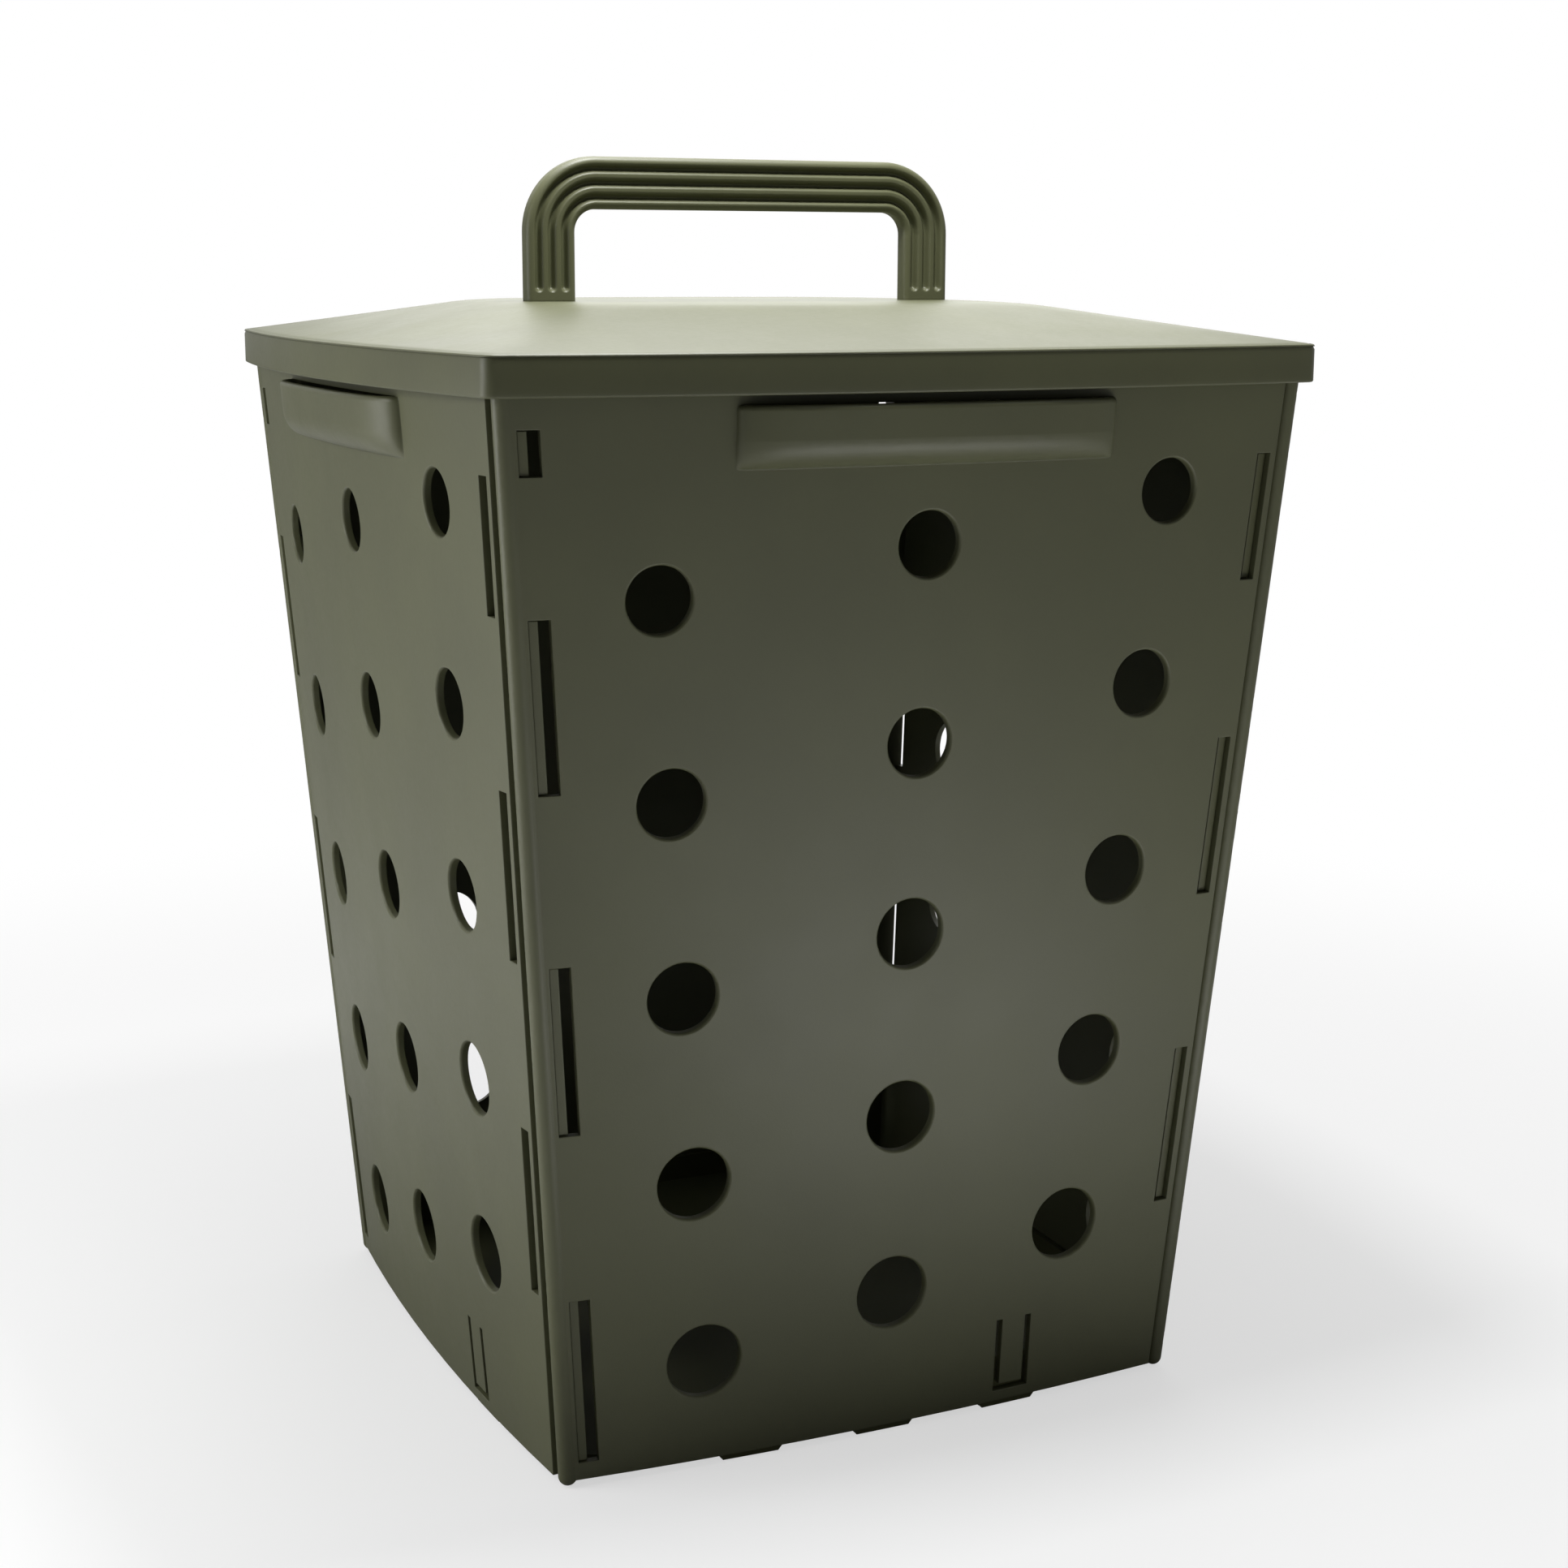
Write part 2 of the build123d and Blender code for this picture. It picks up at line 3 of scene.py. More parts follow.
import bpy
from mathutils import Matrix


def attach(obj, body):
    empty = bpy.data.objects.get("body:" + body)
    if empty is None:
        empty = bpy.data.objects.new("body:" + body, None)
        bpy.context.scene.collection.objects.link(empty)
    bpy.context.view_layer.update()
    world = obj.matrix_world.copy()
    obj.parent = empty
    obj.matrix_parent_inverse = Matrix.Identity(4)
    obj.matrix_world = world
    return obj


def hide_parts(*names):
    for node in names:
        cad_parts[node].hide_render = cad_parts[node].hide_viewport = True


bl_info = {
    "name": "Compost bin",
    "version": (1, 0, 0),
    "blender": (4, 5, 0),
    "location": "3D View > Sidebar > Compost bin",
    "description": "Dresses the flat-pack compost bin and sets it on a plain studio floor",
    "category": "Object",
}

import bpy
import numpy as np
from bpy.props import FloatProperty, FloatVectorProperty, IntProperty, PointerProperty
from mathutils import Matrix

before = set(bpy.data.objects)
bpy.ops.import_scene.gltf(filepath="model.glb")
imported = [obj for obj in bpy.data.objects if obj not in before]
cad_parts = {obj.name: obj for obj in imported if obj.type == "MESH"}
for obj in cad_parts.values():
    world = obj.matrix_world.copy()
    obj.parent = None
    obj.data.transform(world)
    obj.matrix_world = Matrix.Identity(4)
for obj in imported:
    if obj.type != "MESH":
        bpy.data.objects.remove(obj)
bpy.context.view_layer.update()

PANELS = ("front_panel", "right_panel", "back_panel", "left_panel")

# Noise of the plastic: scale, detail, roughness
CLOUD_NOISE = (14.0, 3.0, 0.55)
SPECK_NOISE = (520.0, 2.0, 0.6)
GRAIN_NOISE = (1900.0, 2.0, 0.6)
RUB_NOISE = (90.0, 3.0, 0.6)
SHEEN_NOISE = (45.0, 4.0, 0.6)

# Where each piece starts in the noise
PANEL_SEED_STEP = 0.37
FLOOR_SEED = 1.7
LID_SEED = 2.3
HANDLE_SEED = 3.1

# Plastic: where its patterns start and are full, and how much each counts
CLOUD_BAND = (0.35, 0.68)
CLOUD_SHARE = 0.75
RUB_BAND = (0.02, 0.35)
PATCH_BAND = (0.35, 0.65)
RUB_LEAST = 0.35
RUB_SHARE = 0.5
SPECK_SHEEN = 0.06
SPECK_BUMP = 0.6
BUMP_STRENGTH = 0.5
PLASTIC_IOR = 1.5
SATIN_GLOSS = 0.5
BEVEL_SAMPLES = 6
SHARP_DEGREES = 40

# Rings of the lid, as steps from the edge at 0 over the flat middle's outline at 1 to its centre at 2
INNERMOST_RING = 1.97
RIB_ROUND = 0.0003

# Share of a normal above which a point lies on a flat face of the bar
FLAT_FACE = 0.999

# Lamps: name, place, aim, size
LAMPS = (
    ("top_lamp", (-0.02, 0.05, 0.70), (0, 0, 0.34), 0.30),
    ("handle_lamp", (0.00, -0.12, 0.70), (0, -0.05, 0.34), 0.08),
    ("back_lamp", (0.60, 1.26, 0.84), (0, 0, 0.34), 0.9),
    ("left_card", (-0.90, 0.20, 0.06), (-0.13, -0.08, 0.20), 0.6),
    ("front_card", (0.14, -0.37, 0.004), (0.14, -0.32, 1.0), 0.28),
    ("left_lamp", (-0.50, -0.04, 0.42), (-0.44, -0.04, 0), 0.25),
)
FLOOR_REACH = (0.2, 0.6, 1.2, 2.4, 6.0)

# Studio: bands over which the light, the painted shade on the floor near the bin and the floor's white fade,
# and the least white that the eye sees on the floor
LIGHT_BAND = (-0.3, 0.9)
MIRROR_BAND = (0.4, 1.0)
PAINTED_SHADE_BAND = (0.12, 0.50)
FADE_BAND = (0.2, 0.8)
WHITE_LEAST = 0.6
WHITE = (1, 1, 1, 1)
SENSOR_WIDTH_MM = 36
CLIP_START = 0.01


def length(label, says, default):
    """A size in metres that a user may change."""
    return FloatProperty(name=label, description=says, default=default, unit="LENGTH", precision=5, step=0.01)


def share(label, says, default):
    """A number from 0 to 1 that a user may change."""
    return FloatProperty(name=label, description=says, default=default, min=0, max=1, subtype="FACTOR")


def colour(label, says, default):
    """A colour that a user may change, as scene linear red, green and blue."""
    return FloatVectorProperty(
        name=label, description=says, default=default, size=3, subtype="COLOR", min=0, max=1)


def power(label, says, default):
    """A lamp's power in watts that a user may change."""
    return FloatProperty(name=label, description=says, default=default, unit="POWER")


class LidSizes(bpy.types.PropertyGroup):
    """Sizes of the lid."""

    half: length("Half width", "Middle to corner line, along a side", 0.1300)
    bow: length("Bow", "How far each side bows out at its middle", 0.0109)
    corner: length("Corner", "Rounding length at the corners", 0.0030)
    edge: length("Edge level", "Upper edge of the skirt above the ground", 0.3310)
    skirt: length("Skirt depth", "Upper edge to lower edge of the skirt", 0.0112)
    skirt_wall: length("Skirt wall", "Thickness of the skirt", 0.0018)
    plate: length("Plate", "Thickness of the top", 0.0024)
    edge_round: length("Edge rounding", "Radius along the skirt's edges", 0.0006)
    rise: length("Crown rise", "Flat middle above the edge", 0.0112)
    crown_half: length("Crown half width", "Middle to corner line of the flat middle", 0.0607)
    crown_bow: length("Crown bow", "How far the flat middle's sides bow out", 0.0135)
    crown_corner: length("Crown corner", "Rounding length at the flat middle's corners", 0.0160)
    shoulder: share("Shoulder start", "Share of the slope where the crown starts to flatten", 0.8)
    ledge: length("Ledge", "Flat underside that rests on the panels", 0.0160)
    rib_half: length("Rib half length", "Half the length of each locating rib", 0.0450)
    rib_depth: length("Rib depth", "How far the locating ribs hang down", 0.0060)
    rib_wall: length("Rib wall", "Thickness of the locating ribs", 0.0020)
    rib_reach: length("Rib reach", "Outer face of the ribs from the lid's middle", 0.1308)


class HandleSizes(bpy.types.PropertyGroup):
    """Sizes of the bow handle."""

    span: length("Span", "Leg middle to leg middle", 0.1304)
    height: length("Height", "Top of the bow above the lid", 0.0440)
    base: length("Base level", "Flat middle of the lid above the ground", 0.3422)
    bar_width: length("Bar width", "Width of the bar in the plane of the bow", 0.0160)
    bar_depth: length("Bar depth", "Depth of the bar across the bow", 0.0066)
    bar_round: length("Bar rounding", "Radius along the bar's edges", 0.0020)
    bend: length("Bend", "Radius of the bends at the middle of the bar", 0.0150)
    groove_pitch: length("Groove pitch", "Distance between the grooves", 0.0043)
    groove_radius: length("Groove radius", "Half the width of the round-bottomed grooves", 0.00170)
    groove_depth: length("Groove depth", "Depth of the grooves at their middle", 0.0019)
    groove_end: length("Groove end", "Round ends of the grooves above the lid", 0.0043)
    prong_width: length("Prong width", "Width of the snap prongs", 0.0080)
    prong_depth: length("Prong depth", "Thickness of the snap prongs", 0.0030)
    barb: length("Barb", "How far a prong's barb reaches under the lid", 0.0010)
    barb_level: length("Barb level", "Top of the barb below the lid's flat middle", 0.0027)
    barb_height: length("Barb height", "Top to tip of the barb", 0.0025)


class PlasticLook(bpy.types.PropertyGroup):
    """Colours and finish of the moulded plastic."""

    olive: colour("Olive", "Main colour of the plastic", (0.100, 0.105, 0.052))
    shade: colour("Shade", "Darker, greyer patches left by the flow in the mould", (0.088, 0.092, 0.047))
    rub: colour("Rub", "Paler colour along rubbed edges", (0.150, 0.155, 0.100))
    rough: share("Roughness", "Roughness of the satin finish", 0.45)
    rough_spread: share("Roughness spread", "How much the roughness varies", 0.10)
    floor_gloss: share("Floor gloss", "Specular level of the matt floor", 0.05)
    grain: length("Grain", "Height of the fine moulded grain", 0.00004)
    edge_soft: length("Edge softness", "Width over which moulded edges are softened", 0.0005)


class StageLook(bpy.types.PropertyGroup):
    """Camera and light."""

    lens: FloatProperty(name="Lens", description="Focal length of the camera", default=59.4, unit="CAMERA")
    azimuth: FloatProperty(
        name="Azimuth", description="Camera's turn round the bin in degrees", default=-25.01)
    elevation: FloatProperty(name="Elevation", description="Camera's height angle in degrees", default=11.46)
    roll: FloatProperty(name="Roll", description="Camera's roll in degrees", default=0.20)
    place: FloatVectorProperty(
        name="Place", description="Where the camera stands", default=(-0.3437, -0.7705, 0.3559),
        size=3, subtype="TRANSLATION")
    shift: FloatProperty(name="Shift", description="Upright shift of the frame", default=-0.0016)
    floor: colour("Floor", "Colour of the floor", (0.86, 0.86, 0.86))
    # Painted shade: the floor beside the bin is darker, but only in the light it sends back onto the bin
    painted_floor_shade: colour("Near floor", "What the bin catches of the floor beside it", (0.45, 0.45, 0.45))
    backdrop: FloatVectorProperty(
        name="Backdrop", description="Direction of the lit backdrop", default=(0.45, 0.65, 0.61),
        size=3, subtype="DIRECTION")
    dim: FloatProperty(name="Dim", description="Light from the darkest side of the studio", default=0.10)
    glow: FloatProperty(name="Glow", description="Light added towards the backdrop", default=0.35)
    top_lamp: power("Top lamp", "Lamp over the lid", 1.7)
    back_lamp: power("Back lamp", "Lamp behind the lid", 3.8)
    handle_lamp: power("Handle lamp", "Small lamp over the handle", 2.4)
    left_lamp: power("Left lamp", "Lamp over the floor on the left", 1.3)
    left_card: power("Left card", "Lit card on the floor behind, left", 4.0)
    front_card: power("Front card", "Lit card on the floor in front", 0.7)
    side_steps: IntProperty(name="Rim steps", description="Sides of the round floor", default=96)


class BinSettings(bpy.types.PropertyGroup):
    """All that a user may change."""

    lid: PointerProperty(type=LidSizes)
    handle: PointerProperty(type=HandleSizes)
    plastic: PointerProperty(type=PlasticLook)
    stage: PointerProperty(type=StageLook)


class Value:
    """One output of a node; arithmetic on it adds Math nodes."""

    def __init__(self, shader, socket):
        self.shader = shader
        self.socket = socket

    def maths(self, operation, first, second):
        return self.shader.node("Math", dict(operation=operation), {0: first, 1: second})

    def __add__(self, other):
        return self.maths("ADD", self, other)

    def __radd__(self, other):
        return self.maths("ADD", other, self)

    def __sub__(self, other):
        return self.maths("SUBTRACT", self, other)

    def __rsub__(self, other):
        return self.maths("SUBTRACT", other, self)

    def __mul__(self, other):
        return self.maths("MULTIPLY", self, other)

    def __rmul__(self, other):
        return self.maths("MULTIPLY", other, self)

    def larger(self, other):
        return self.maths("MAXIMUM", self, other)

    def ramp(self, low, high):
        """0 below low, 1 above high, eased in between."""
        sockets = {"Value": self, "From Min": low, "From Max": high}
        return self.shader.node("MapRange", dict(interpolation_type="SMOOTHSTEP"), sockets)


class Shader:
    """Adds nodes to one material or world."""

    def __init__(self, tree):
        self.tree = tree
        tree.nodes.clear()

    def node(self, kind, settings=None, sockets=None, output=0):
        """One shader node: its type, its settings, and the values or links of its sockets."""
        made = self.tree.nodes.new("ShaderNode" + kind)
        for name, value in (settings or {}).items():
            setattr(made, name, value)
        for name, value in (sockets or {}).items():
            if isinstance(value, Value):
                self.tree.links.new(value.socket, made.inputs[name])
            else:
                made.inputs[name].default_value = value
        return Value(self, made.outputs[output]) if made.outputs else None

    def mix(self, factor, first, second):
        """First colour where the factor is 0, second where it is 1."""
        sockets = {0: factor, 6: first, 7: second}
        return self.node("Mix", dict(data_type="RGBA"), sockets, 2)


def rgba(three):
    """A colour with full alpha."""
    return (*three, 1.0)


def olive_plastic(look, name, seed, gloss=SATIN_GLOSS):
    """Satin moulded plastic: cloudy colour, fine grain, and edges rubbed paler where they are softened."""
    material = bpy.data.materials.new(name)
    material.use_nodes = True
    shader = Shader(material.node_tree)
    place = shader.node("TexCoord", output="Object")
    moved = shader.node("VectorMath", dict(operation="ADD"), {0: place, 1: (seed, 2 * seed, -seed)})

    def noise(scale, detail, roughness):
        sockets = {"Vector": moved, "Scale": scale, "Detail": detail, "Roughness": roughness}
        return shader.node("TexNoise", None, sockets)

    cloud = noise(*CLOUD_NOISE).ramp(*CLOUD_BAND)
    speck = noise(*SPECK_NOISE)
    grain = noise(*GRAIN_NOISE)
    soft = shader.node("Bevel", dict(samples=BEVEL_SAMPLES), {"Radius": look.edge_soft})
    flat = shader.node("NewGeometry", output="Normal")
    bend = 1 - shader.node("VectorMath", dict(operation="DOT_PRODUCT"), {0: soft, 1: flat}, "Value")
    patchy = RUB_LEAST + (1 - RUB_LEAST) * noise(*RUB_NOISE).ramp(*PATCH_BAND)
    rubbed = bend.ramp(*RUB_BAND) * patchy
    mottle = cloud * CLOUD_SHARE + speck * (1 - CLOUD_SHARE)
    body = shader.mix(mottle, rgba(look.shade), rgba(look.olive))
    tint = shader.mix(rubbed * RUB_SHARE, body, rgba(look.rub))
    sheen = look.rough_spread * (noise(*SHEEN_NOISE) - 0.5)
    rough = look.rough + sheen + SPECK_SHEEN * (speck - 0.5)
    height = grain + SPECK_BUMP * speck
    bump = shader.node("Bump", None, {
        "Strength": BUMP_STRENGTH, "Distance": look.grain, "Height": height, "Normal": soft})
    surface = shader.node("BsdfPrincipled", None, {
        "Base Color": tint, "Roughness": rough, "Normal": bump,
        "IOR": PLASTIC_IOR, "Specular IOR Level": gloss})
    shader.node("OutputMaterial", None, {"Surface": surface})
    return material


def dress(piece, material):
    """Gives a piece its one material."""
    piece.data.materials.clear()
    piece.data.materials.append(material)


class Shells:
    """Collects closed surfaces as whole arrays of points and quads."""

    def __init__(self):
        self.points = []
        self.quads = []
        self.fans = []
        self.count = 0

    def add(self, rings):
        """Closed rings, one a row: quads join each ring to the next, and fans to the mean close both ends."""
        rows, columns = rings.shape[:2]
        index = np.arange(rows * columns).reshape(rows, columns) + self.count
        after = np.roll(index, -1, axis=1)
        quads = np.stack([index[:-1], after[:-1], after[1:], index[1:]], -1).reshape(-1, 4)
        first = self.count + rows * columns
        low_fan = np.stack([after[0], index[0], np.full(columns, first)], -1)
        high_fan = np.stack([index[-1], after[-1], np.full(columns, first + 1)], -1)
        fans = np.concatenate([low_fan, high_fan])
        points = np.concatenate([rings.reshape(-1, 3), rings[0].mean(0)[None], rings[-1].mean(0)[None]])
        corners = points[np.concatenate([quads[:, :3], quads[:, [0, 2, 3]], fans]) - self.count]
        volume = np.einsum("ij,ij->i", corners[:, 0], np.cross(corners[:, 1], corners[:, 2])).sum()
        if volume < 0:
            quads, fans = quads[:, ::-1], fans[:, ::-1]
        self.points.append(points)
        self.quads.append(quads)
        self.fans.append(fans)
        self.count += len(points)

    def piece(self, name, sharp_degrees):
        """The collected shells as one object at the origin, smooth but for sharp edges."""
        mesh = bpy.data.meshes.new(name)
        faces = np.concatenate(self.quads).tolist() + np.concatenate(self.fans).tolist()
        mesh.from_pydata(np.concatenate(self.points), [], faces)
        mesh.polygons.foreach_set("use_smooth", np.ones(len(faces), bool))
        mesh.set_sharp_from_angle(angle=np.radians(sharp_degrees))
        mesh.validate()
        made = bpy.data.objects.new(name, mesh)
        bpy.context.scene.collection.objects.link(made)
        return made


def bowed_rings(half, bow, corner, level, side_steps=64, corner_steps=10):
    """Rings round bowed squares, one a row: sides (R sin t, c - R cos t), corners their tangent arcs."""
    half, bow, corner, level = (np.asarray(value, float)[:, None] for value in (half, bow, corner, level))
    radius = (half ** 2 + bow ** 2) / (2 * bow)
    centre = radius - half - bow
    side = half - corner
    swing = np.arcsin(side / radius)
    along = np.linspace(-1, 1, side_steps + 1)[None, :]
    end_y = centre - radius * np.cos(swing)
    turn = (side + end_y) / (np.sin(swing) - np.cos(swing))
    part = np.linspace(0, 1, corner_steps + 1)[None, 1:-1]
    angle = (swing - np.pi / 2) * (1 - part) - swing * part
    x = np.hstack([radius * np.sin(swing * along), side - turn * np.sin(swing) + turn * np.cos(angle)])
    y = np.hstack([
        centre - radius * np.cos(swing * along), end_y + turn * np.cos(swing) + turn * np.sin(angle)])
    ring_x = np.hstack([x, -y, -x, y])
    ring_y = np.hstack([y, x, -y, -x])
    return np.stack([ring_x, ring_y, np.broadcast_to(level, ring_x.shape)], -1)


def crown_rise(way, start):
    """Rise of the crown from 0 at the edge to 1: a straight slope that flattens evenly from start onwards."""
    slope = 2 / (1 + start)
    past = np.clip(way - start, 0, 1 - start)
    return slope * np.minimum(way, 1) - slope * past ** 2 / (2 * (1 - start))


def lid_shell(size):
    """Rings from the crown's middle over the edge, down the skirt, up inside it and under the crown."""
    quarter = np.linspace(0, np.pi / 2, 6)
    rounding = size.edge_round

    def sections(way, drop):
        """Half, bow, corner and level of the crown's rings, from the edge at 0 to the flat middle at 1."""
        inside = np.clip(way, 0, 1)
        shrink = 1 - np.clip(way - 1, 0, 1)
        return (
            (size.half + (size.crown_half - size.half) * inside) * shrink,
            (size.bow + (size.crown_bow - size.bow) * inside) * shrink,
            (size.corner + (size.crown_corner - size.corner) * inside) * shrink,
            size.edge + size.rise * crown_rise(inside, size.shoulder) - drop)

    def straight(insets, levels):
        """Half, bow, corner and level of rings set in from the outline."""
        insets, levels = np.broadcast_arrays(np.asarray(insets, float), np.asarray(levels, float))
        return size.half - insets, np.full(insets.shape, size.bow), np.full(insets.shape, size.corner), levels

    slope = size.half - size.crown_half
    first = 2.4 * rounding / slope
    clear = 2.5 * rounding
    top_way = np.concatenate([
        np.linspace(INNERMOST_RING, 1.05, 14), np.linspace(1, 0.75, 16), np.linspace(0.72, first, 26)])
    low = size.edge - size.skirt
    under = size.edge - size.plate
    inner = size.skirt_wall
    tip = size.rise * crown_rise(rounding / slope, size.shoulder)
    back = quarter[::-1]
    parts = [
        sections(top_way, 0),
        straight(rounding * (1 - np.sin(back)), size.edge - rounding + (rounding + tip) * np.cos(back)),
        straight(0, [size.edge - clear, low + clear]),
        straight(rounding * (1 - np.cos(quarter)), low + rounding * (1 - np.sin(quarter))),
        straight(inner - rounding * (1 - np.cos(back)), low + rounding * (1 - np.sin(back))),
        straight(inner, [low + clear, under - rounding]),
        straight([inner + rounding, size.ledge - rounding, size.ledge], under),
    ]
    under_way = np.concatenate([
        np.linspace(size.ledge / slope, 1, 24), np.linspace(1.06, INNERMOST_RING, 12)])
    parts.append(sections(under_way, size.plate))
    return bowed_rings(*(np.concatenate(values) for values in zip(*parts)))


def arc_bar(reach, half_length, wall, bow, outline_half, low, high, rounding):
    """Upright wall along a bowed side: a rounded rectangle carried along the side's arc, ends closed."""
    radius = (outline_half ** 2 + bow ** 2) / (2 * bow)
    steps = np.linspace(-1, 1, 33)
    swing = np.arcsin(half_length / radius) * steps[:, None]
    spread = np.array([0, 1, 1, 0]) * (wall - 2 * rounding)
    rise = np.array([0, 0, 1, 1]) * (high - low - 2 * rounding)
    turns = np.linspace(0, np.pi / 2, 4)
    quarter = np.radians([180, 270, 0, 90])[:, None] + turns[None, :]
    across = (spread[:, None] + rounding + rounding * np.cos(quarter)).ravel()
    up = (rise[:, None] + rounding + rounding * np.sin(quarter)).ravel()
    out = reach - across[None, :] + radius * (np.cos(swing) - 1)
    side = (radius - across[None, :]) * np.sin(swing)
    return np.stack([side, -out, np.broadcast_to(low + up[None, :], side.shape)], -1)


def turned(rings, quarters):
    """Rings turned round the upright axis by quarter turns."""
    angle = quarters * np.pi / 2
    spin = np.array([[np.cos(angle), -np.sin(angle), 0], [np.sin(angle), np.cos(angle), 0], [0, 0, 1]])
    return rings @ spin.T


def bow_line(size):
    """Middle of the bar: up one leg, round two quarter bends and down; points and outward normals."""
    leg = size.span / 2
    top = size.base + size.height - size.bar_width / 2
    knee = top - size.bend
    foot = size.base + np.concatenate([
        np.linspace(0, size.groove_end - size.groove_radius, 6),
        size.groove_end - size.groove_radius * np.cos(np.linspace(0.08, np.pi / 2, 12))])
    rise = np.concatenate([foot, np.linspace(foot[-1], knee, 14)[1:]])
    turn = np.linspace(0, np.pi / 2, 26)[1:]
    left = np.stack([np.full(len(rise), -leg), rise], -1)
    bend = np.stack([-leg + size.bend * (1 - np.cos(turn)), knee + size.bend * np.sin(turn)], -1)
    across = np.stack([np.linspace(bend[-1, 0], 0, 22)[1:], np.full(21, top)], -1)
    half = np.concatenate([left, bend, across])
    normal = np.concatenate([
        np.tile([-1.0, 0.0], (len(rise), 1)), np.stack([-np.cos(turn), np.sin(turn)], -1),
        np.tile([0.0, 1.0], (len(across), 1))])
    flip = np.array([-1.0, 1.0])
    line = np.concatenate([half, half[-2::-1] * flip])
    outward = np.concatenate([normal, normal[-2::-1] * flip])
    return line, outward


def bar_outline(size):
    """Rounded rectangle round the bar: points (outward, across) and their normals."""
    half_width = size.bar_width / 2 - size.bar_round
    half_depth = size.bar_depth / 2 - size.bar_round
    turn = np.linspace(0, np.pi / 2, 9)
    flat = np.linspace(half_width, -half_width, 75)[1:-1]
    corners = []
    for start, mid_a, mid_b in ((0, 1, 1), (1, -1, 1), (2, -1, -1), (3, 1, -1)):
        angle = start * np.pi / 2 + turn
        normal = np.stack([np.cos(angle), np.sin(angle)], -1)
        corners.append((np.array([mid_a * half_width, mid_b * half_depth]) + size.bar_round * normal, normal))
    face = np.stack([flat, np.full(flat.shape, size.bar_depth / 2)], -1)
    up = np.tile([0.0, 1.0], (len(flat), 1))
    points = np.concatenate([corners[0][0], face, corners[1][0], corners[2][0], -face, corners[3][0]])
    normals = np.concatenate([corners[0][1], up, corners[1][1], corners[2][1], -up, corners[3][1]])
    return points, normals


def groove_depth(offset, reach, size):
    """Depth of the grooves: d (1 + cos(pi t)) / 2, t from 0 in the middle to 1 at the lips; ends round."""
    centres = size.groove_pitch * np.array([-1.0, 0.0, 1.0])
    nearest = np.abs(offset[..., None] - centres).min(-1)
    beyond = np.clip(size.groove_end - reach, 0, None)
    part = np.clip(np.hypot(nearest, beyond) / size.groove_radius, 0, 1)
    return size.groove_depth * (1 + np.cos(np.pi * part)) / 2


def handle_shell(size):
    """The bar's outline carried along the bow and pressed in along the grooves."""
    line, outward = bow_line(size)
    points, normals = bar_outline(size)
    reach = line[:, 1] - size.base
    on_face = np.abs(normals[:, 1]) > FLAT_FACE
    depth = groove_depth(points[None, :, 0], reach[:, None], size) * on_face[None, :]
    out = points[None, :, 0] - depth * normals[None, :, 0]
    across = points[None, :, 1] - depth * normals[None, :, 1]
    x = line[:, :1] + outward[:, :1] * out
    z = line[:, 1:] + outward[:, 1:] * out
    return np.stack([x, across, z], -1)


def prong_shell(size, side):
    """Snap prong: an upright section with a barb, carried straight across its width."""
    top = size.base
    catch = size.base - size.barb_level
    tip = catch - size.barb_height
    section = np.array([
        (0, top), (size.prong_depth, top), (size.prong_depth, catch), (size.prong_depth + size.barb, catch),
        (size.prong_depth, tip), (0, tip)])
    start = side * size.span / 2 - size.prong_width / 2
    x = start + size.prong_width * np.linspace(0, 1, 3)
    rings = np.empty((3, len(section), 3))
    rings[..., 0] = x[:, None]
    rings[..., 1] = section[None, :, 0] - size.prong_depth / 2
    rings[..., 2] = section[None, :, 1]
    return rings


class BIN_OT_panels(bpy.types.Operator):
    """Finish the four side panels in olive plastic."""

    bl_idname = "compost_bin.panels"
    bl_label = "Side panels"

    def execute(self, context):
        look = context.scene.compost_bin.plastic
        for number, name in enumerate(PANELS):
            dress(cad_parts[name], olive_plastic(look, "plastic_" + name, PANEL_SEED_STEP * number))
        return {"FINISHED"}


class BIN_OT_floor_tray(bpy.types.Operator):
    """Finish the floor tray in olive plastic with a matt face."""

    bl_idname = "compost_bin.floor_tray"
    bl_label = "Floor tray"

    def execute(self, context):
        look = context.scene.compost_bin.plastic
        plastic = olive_plastic(look, "plastic_floor_tray", FLOOR_SEED, look.floor_gloss)
        dress(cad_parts["floor_tray"], plastic)
        return {"FINISHED"}


class BIN_OT_lid(bpy.types.Operator):
    """Make the lid: crown, skirt, ledge and locating ribs."""

    bl_idname = "compost_bin.lid"
    bl_label = "Lid"

    def execute(self, context):
        settings = context.scene.compost_bin
        size = settings.lid
        shells = Shells()
        shells.add(lid_shell(size))
        under = size.edge - size.plate
        rib = arc_bar(
            size.rib_reach, size.rib_half, size.rib_wall, size.bow, size.half,
            under - size.rib_depth, under + size.plate / 2, RIB_ROUND)
        for quarters in range(4):
            shells.add(turned(rib, quarters))
        lid = shells.piece("moulded_lid", SHARP_DEGREES)
        dress(lid, olive_plastic(settings.plastic, "plastic_lid", LID_SEED))
        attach(lid, "lid")
        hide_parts("lid")
        return {"FINISHED"}


class BIN_OT_lid_handle(bpy.types.Operator):
    """Make the grooved bow handle with its prongs."""

    bl_idname = "compost_bin.lid_handle"
    bl_label = "Lid handle"

    def execute(self, context):
        settings = context.scene.compost_bin
        size = settings.handle
        shells = Shells()
        shells.add(handle_shell(size))
        for side in (-1, 1):
            shells.add(prong_shell(size, side))
        handle = shells.piece("grooved_handle", SHARP_DEGREES)
        dress(handle, olive_plastic(settings.plastic, "plastic_handle", HANDLE_SEED))
        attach(handle, "lid")
        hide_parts("lid_handle")
        return {"FINISHED"}


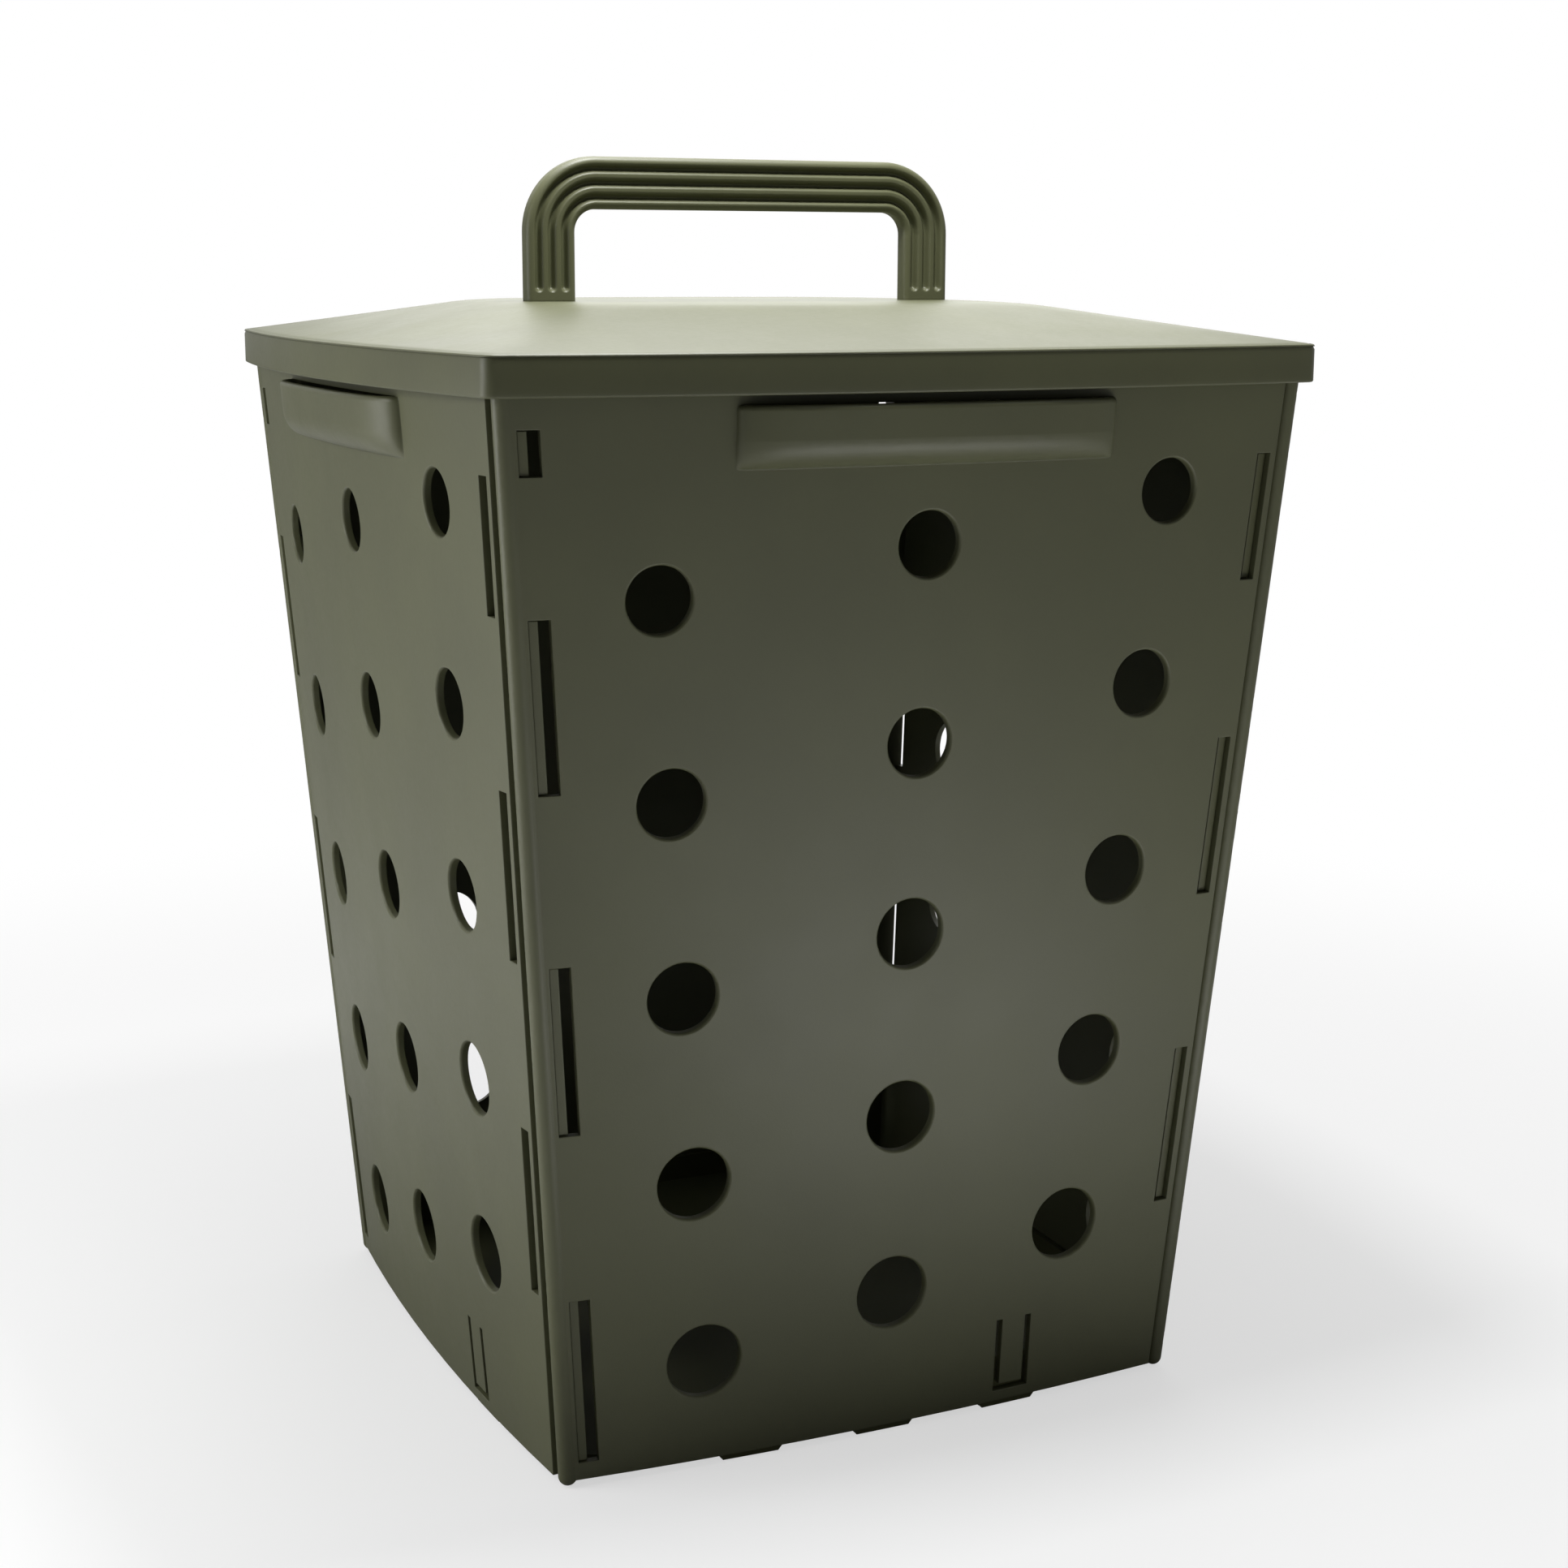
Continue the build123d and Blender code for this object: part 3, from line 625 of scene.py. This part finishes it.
def camera_matrix(look):
    """Camera's place and turn: its back points from the bin to the camera, by azimuth and elevation."""
    azimuth, elevation, roll = np.radians([look.azimuth, look.elevation, look.roll])
    back = np.array([
        np.sin(azimuth) * np.cos(elevation), -np.cos(azimuth) * np.cos(elevation), np.sin(elevation)])
    right = np.cross(-back, [0, 0, 1])
    right /= np.linalg.norm(right)
    up = np.cross(right, -back)
    matrix = np.eye(4)
    matrix[:3, 0] = np.cos(roll) * right + np.sin(roll) * up
    matrix[:3, 1] = np.cos(roll) * up - np.sin(roll) * right
    matrix[:3, 2] = back
    matrix[:3, 3] = look.place
    return Matrix(matrix)


def studio_world(look):
    """White for the eye, and towards the backdrop for reflections; light fades away from the backdrop."""
    world = bpy.data.worlds.new("studio")
    bpy.context.scene.world = world
    world.use_nodes = True
    shader = Shader(world.node_tree)
    way = shader.node("TexCoord", output="Generated")
    toward = shader.node("VectorMath", dict(operation="DOT_PRODUCT"), {0: way, 1: look.backdrop}, "Value")
    light = shader.node("Background", None, {"Strength": look.dim + look.glow * toward.ramp(*LIGHT_BAND)})
    white = shader.node("Background", None, {"Color": WHITE, "Strength": 1.0})
    mirrored = shader.node("LightPath", output="Is Glossy Ray").larger(
        shader.node("LightPath", output="Is Transmission Ray"))
    seen = shader.node("LightPath", output="Is Camera Ray").larger(mirrored * toward.ramp(*MIRROR_BAND))
    surface = shader.node("MixShader", None, {0: seen, 1: light, 2: white})
    shader.node("OutputWorld", None, {"Surface": surface})


def studio_floor(look):
    """Round floor: pale to the eye and fading into white, with painted shade near the bin in the light it
    sends back onto the bin.
    """
    ring = np.linspace(0, 2 * np.pi, look.side_steps, endpoint=False)
    reach = np.array(FLOOR_REACH)
    x = np.concatenate([[0], (reach[:, None] * np.cos(ring)).ravel()])
    y = np.concatenate([[0], (reach[:, None] * np.sin(ring)).ravel()])
    index = 1 + np.arange(len(reach) * len(ring)).reshape(len(reach), len(ring))
    after = np.roll(index, -1, axis=1)
    quads = np.stack([index[:-1], index[1:], after[1:], after[:-1]], -1).reshape(-1, 4)
    fan = np.stack([np.zeros(len(ring), int), index[0], after[0]], -1)
    mesh = bpy.data.meshes.new("floor")
    mesh.from_pydata(np.stack([x, y, np.zeros(len(x))], -1), [], quads.tolist() + fan.tolist())
    floor = bpy.data.objects.new("floor", mesh)
    bpy.context.scene.collection.objects.link(floor)
    material = bpy.data.materials.new("studio_floor")
    material.use_nodes = True
    shader = Shader(material.node_tree)
    place = shader.node("TexCoord", output="Object")
    away = shader.node("VectorMath", dict(operation="LENGTH"), {0: place}, "Value")
    seen = shader.node("LightPath", output="Is Camera Ray")
    pale = shader.node("BsdfDiffuse", None, {"Color": rgba(look.floor)})
    painted_shade_floor = shader.node("BsdfDiffuse", None, {"Color": rgba(look.painted_floor_shade)})
    # Painted shade: the floor darkens towards the bin for every ray but the eye's
    painted_shade_share = (1 - seen) * (1 - away.ramp(*PAINTED_SHADE_BAND))
    matte = shader.node("MixShader", None, {0: painted_shade_share, 1: pale, 2: painted_shade_floor})
    white = shader.node("Emission", None, {"Color": WHITE, "Strength": 1.0})
    fading = WHITE_LEAST + (1 - WHITE_LEAST) * away.ramp(*FADE_BAND)
    surface = shader.node("MixShader", None, {0: seen * fading, 1: matte, 2: white})
    shader.node("OutputMaterial", None, {"Surface": surface})
    dress(floor, material)


def soft_lamp(name, place, aim, size, power):
    """Square soft lamp that looks from its place to its aim."""
    lamp = bpy.data.lights.new(name, "AREA")
    lamp.shape = "SQUARE"
    lamp.size = size
    lamp.energy = power
    holder = bpy.data.objects.new(name, lamp)
    back = np.array(place) - np.array(aim)
    back /= np.linalg.norm(back)
    right = np.cross([0, 0, 1], back)
    right /= np.linalg.norm(right)
    matrix = np.eye(4)
    matrix[:3, 0] = right
    matrix[:3, 1] = np.cross(back, right)
    matrix[:3, 2] = back
    matrix[:3, 3] = place
    holder.matrix_world = Matrix(matrix)
    holder.visible_camera = False
    bpy.context.scene.collection.objects.link(holder)


class BIN_OT_stage(bpy.types.Operator):
    """Set up the floor, the light and the camera."""

    bl_idname = "compost_bin.stage"
    bl_label = "Stage"

    def execute(self, context):
        look = context.scene.compost_bin.stage
        studio_world(look)
        studio_floor(look)
        for name, place, aim, size in LAMPS:
            soft_lamp(name, place, aim, size, getattr(look, name))
        camera = bpy.data.cameras.new("camera")
        camera.lens = look.lens
        camera.sensor_width = SENSOR_WIDTH_MM
        camera.shift_y = look.shift
        camera.clip_start = CLIP_START
        holder = bpy.data.objects.new("camera", camera)
        holder.matrix_world = camera_matrix(look)
        context.scene.collection.objects.link(holder)
        context.scene.camera = holder
        context.scene.view_settings.view_transform = "Standard"
        return {"FINISHED"}


OPERATORS = (BIN_OT_panels, BIN_OT_floor_tray, BIN_OT_lid, BIN_OT_lid_handle, BIN_OT_stage)


class BIN_PT_sidebar(bpy.types.Panel):
    """Buttons and settings of the compost bin."""

    bl_label = "Compost bin"
    bl_idname = "BIN_PT_sidebar"
    bl_space_type = "VIEW_3D"
    bl_region_type = "UI"
    bl_category = "Compost bin"

    def draw(self, context):
        for operator in OPERATORS:
            self.layout.operator(operator.bl_idname)
        settings = context.scene.compost_bin
        for group in (settings.lid, settings.handle, settings.plastic, settings.stage):
            box = self.layout.box()
            for name in group.__annotations__:
                box.prop(group, name)


CLASSES = (LidSizes, HandleSizes, PlasticLook, StageLook, BinSettings, *OPERATORS, BIN_PT_sidebar)


def register():
    """Adds the classes and the settings."""
    for each in CLASSES:
        bpy.utils.register_class(each)
    bpy.types.Scene.compost_bin = PointerProperty(type=BinSettings)


def unregister():
    """Takes the settings and the classes out again."""
    del bpy.types.Scene.compost_bin
    for each in reversed(CLASSES):
        bpy.utils.unregister_class(each)


def main():
    """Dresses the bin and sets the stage."""
    register()
    bpy.ops.compost_bin.panels()
    bpy.ops.compost_bin.floor_tray()
    bpy.ops.compost_bin.lid()
    bpy.ops.compost_bin.lid_handle()
    bpy.ops.compost_bin.stage()
    bpy.context.view_layer.update()


if __name__ == "__main__":
    main()
